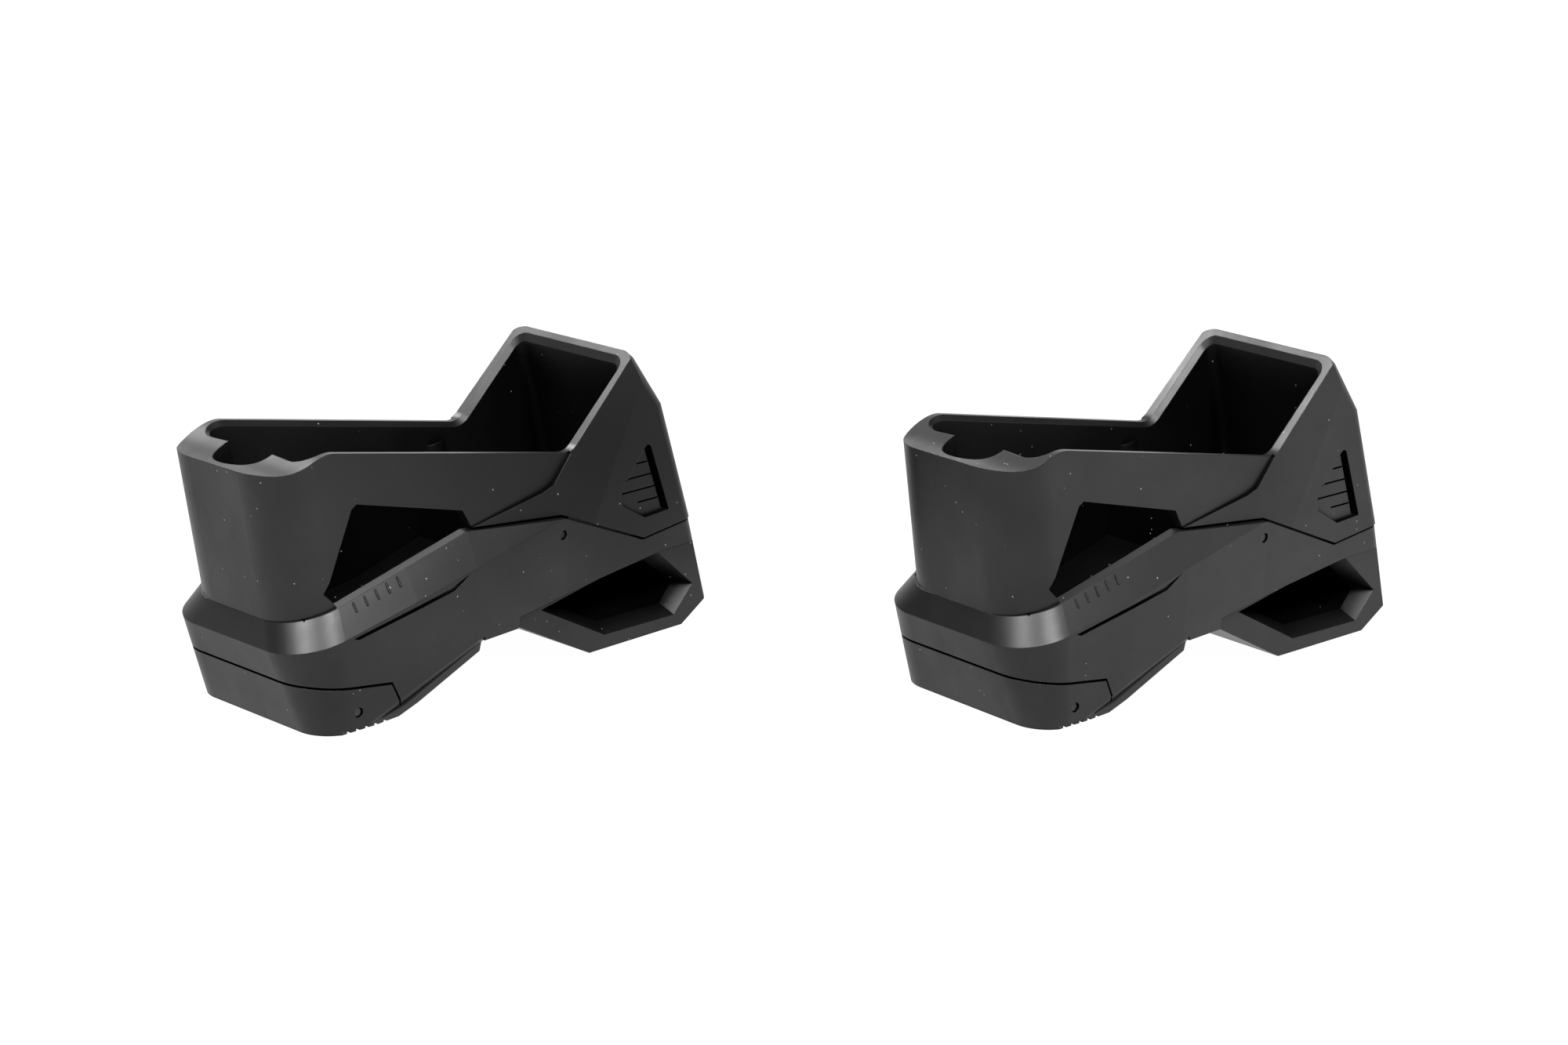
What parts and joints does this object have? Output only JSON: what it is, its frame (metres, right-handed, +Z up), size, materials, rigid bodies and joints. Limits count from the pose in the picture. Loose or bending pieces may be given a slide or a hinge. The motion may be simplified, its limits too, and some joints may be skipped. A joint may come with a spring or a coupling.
{
  "type": "slip-on sleeve guard pair",
  "caption": "Pair of black moulded slip-on guards: open sleeve with side windows and vents, flanged lower frame with a pocketed grip, pinned end cap.",
  "frame": {"origin": "centre of the pair's bounding box, on the surface that both guards stand on", "axes": "+X along the pair from the left guard's heel to the right guard's grip; +Y from the right guard to the left one; +Z up"},
  "size_m": [0.2132, 0.1441, 0.0602],
  "materials": {
    "polymer": "satin black moulded nylon, lightly scuffed on its edges",
    "rubber": "matte black rubber",
    "pin": "blackened steel"
  },
  "bodies": {
    "left_guard": {"upper_sleeve_left": "polymer", "lower_frame_left": "polymer", "end_cap_left": "polymer", "sole_pad_left": "rubber", "frame_pin_left": "pin", "cap_pin_left": "pin"},
    "right_guard": {"upper_sleeve_right": "polymer", "lower_frame_right": "polymer", "end_cap_right": "polymer", "sole_pad_right": "rubber", "frame_pin_right": "pin", "cap_pin_right": "pin"}
  },
  "joints": [
    {"name": "right_guard_lift", "type": "slide", "parent": "left_guard", "child": "right_guard", "axis": [0, 0, 1], "range_m": [0, 0.08]}
  ]
}
